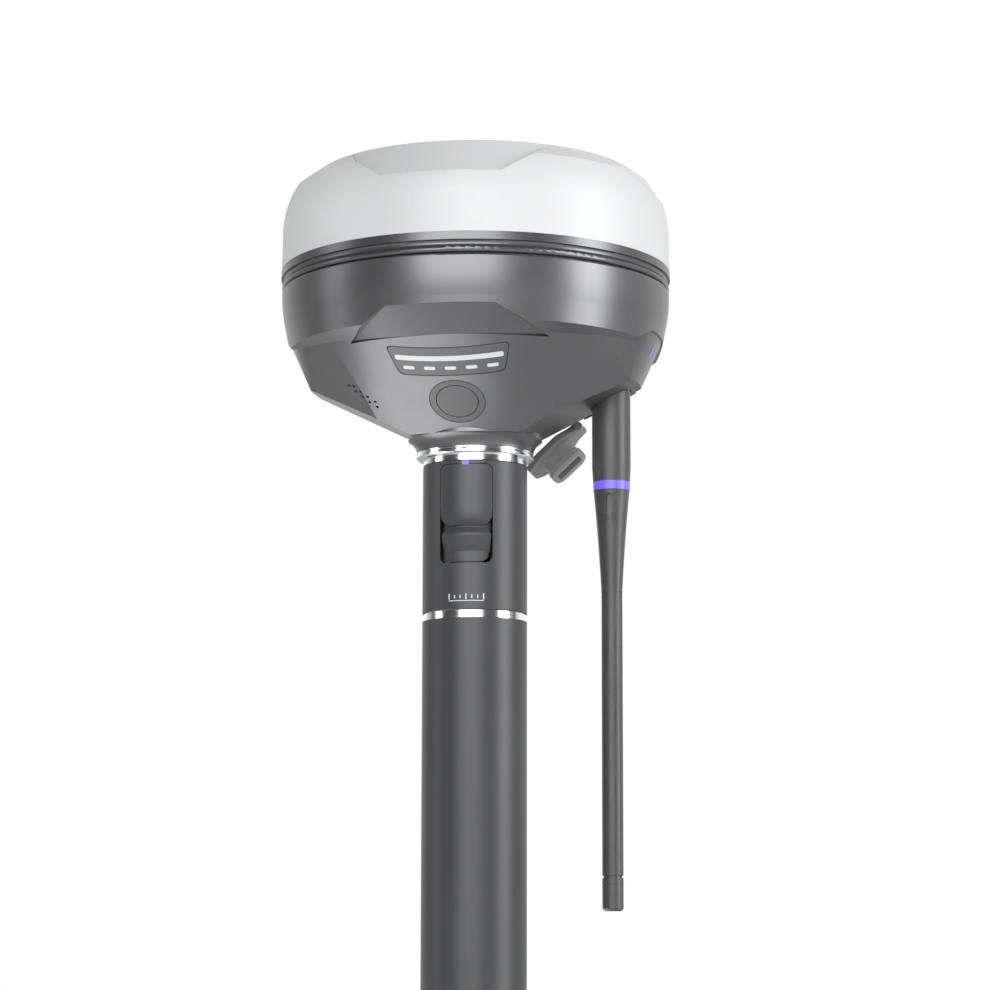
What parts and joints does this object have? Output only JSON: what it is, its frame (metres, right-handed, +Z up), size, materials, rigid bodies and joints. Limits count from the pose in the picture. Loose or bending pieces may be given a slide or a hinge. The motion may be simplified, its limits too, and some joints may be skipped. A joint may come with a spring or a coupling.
{
  "type": "gnss receiver",
  "caption": "Satellite positioning receiver on a survey pole section, with a quick-release adapter, status lamps, a power button and a downward whip antenna.",
  "frame": {"origin": "centre of the pole section's bottom face, at the mouth of its 5/8 inch thread", "axes": "+Z up along the pole, the lamps and power button face -Y, the whip antenna is on the +X side"},
  "size_m": [0.1204, 0.1204, 0.3913],
  "materials": {
    "radome": "light grey satin moulded plastic",
    "housing": "dark grey satin metallic coating",
    "ring": "dark grey satin anodised ring",
    "pole": "dark grey satin coating",
    "adapter": "dark grey satin coating",
    "chrome": "polished",
    "steel": "turned",
    "brass": "machined",
    "aluminium": "plain",
    "panel": "satin dark window",
    "diffuser": "milky light diffuser",
    "keypad": "matt silicone",
    "rubber": "mid grey matt rubber",
    "seal": "black nitrile",
    "black_plastic": "black moulded plastic",
    "antenna_rubber": "dark satin over-moulding",
    "accent": "blue violet accent",
    "board": "green solder mask",
    "can": "tinned sheet",
    "ceramic": "ceramic patch with silvered faces",
    "cell_wrap": "shrink wrap"
  },
  "bodies": {
    "pole": {"pole_tube": "pole", "pole_bottom_plug": "aluminium", "pole_top_plug": "steel", "adapter_base_ring": "chrome", "adapter_body": "adapter", "latch_pin": "steel"},
    "receiver": {"adapter_spigot": "chrome", "lower_housing": "housing", "mid_ring": "ring", "housing_seal": "seal", "radome_seal": "seal", "radome": "radome", "chassis_screws": "steel", "ground_plane": "aluminium", "antenna_board": "board", "lower_patch": "ceramic", "upper_patch": "ceramic", "amplifier_shield": "can", "main_board": "board", "board_screws": "steel", "shield_cans": "can", "radio_module": "can", "battery_cells": "cell_wrap", "battery_tray": "black_plastic", "led_window": "panel", "light_bar": "diffuser", "led_lenses": "diffuser", "button_surround": "keypad", "led_board": "board", "button_switch": "black_plastic", "led_chips": "diffuser", "buzzer": "black_plastic", "port_bezel": "black_plastic", "usb_socket": "steel", "sim_tray": "can", "base_ring": "chrome", "base_screws": "steel", "thread_insert": "brass", "antenna_jack": "brass"},
    "latch": {"latch_lever": "adapter", "latch_spring": "steel"},
    "power_button": {"power_button": "keypad"},
    "antenna": {"antenna_sleeve": "antenna_rubber", "accent_ring": "accent", "antenna_boot": "antenna_rubber", "antenna_whip": "antenna_rubber", "antenna_tip": "antenna_rubber", "antenna_core": "steel"},
    "port_flap": {"port_flap": "rubber"},
    "sim_door": {"sim_door": "rubber"}
  },
  "joints": [
    {"name": "receiver_lift", "type": "slide", "parent": "pole", "child": "receiver", "axis": [0, 0, 1], "range_m": [0, 0.04]},
    {"name": "latch_press", "type": "hinge", "parent": "pole", "child": "latch", "pos_m": [0, -0.0124, 0.284], "axis": [1, 0, 0], "range_deg": [0, 5], "stiffness_Nm_per_rad": 0.12, "springref_deg": -2.86},
    {"name": "button_press", "type": "slide", "parent": "receiver", "child": "power_button", "axis": [0, 0.6113, 0.7914], "range_m": [0, 0.0006], "stiffness_N_per_m": 600, "springref_m": -0.001},
    {"name": "antenna_turn", "type": "hinge", "parent": "receiver", "child": "antenna", "pos_m": [0.0419, 0.003, 0.3], "axis": [0, 0, 1], "continuous": true},
    {"name": "flap_close", "type": "hinge", "parent": "receiver", "child": "port_flap", "pos_m": [0.03009, 0.017, 0.31226], "axis": [0, -1, 0], "range_deg": [0, 163]},
    {"name": "door_open", "type": "hinge", "parent": "receiver", "child": "sim_door", "pos_m": [-0.02941, 0.017, 0.31365], "axis": [0, -1, 0], "range_deg": [0, 100]}
  ]
}
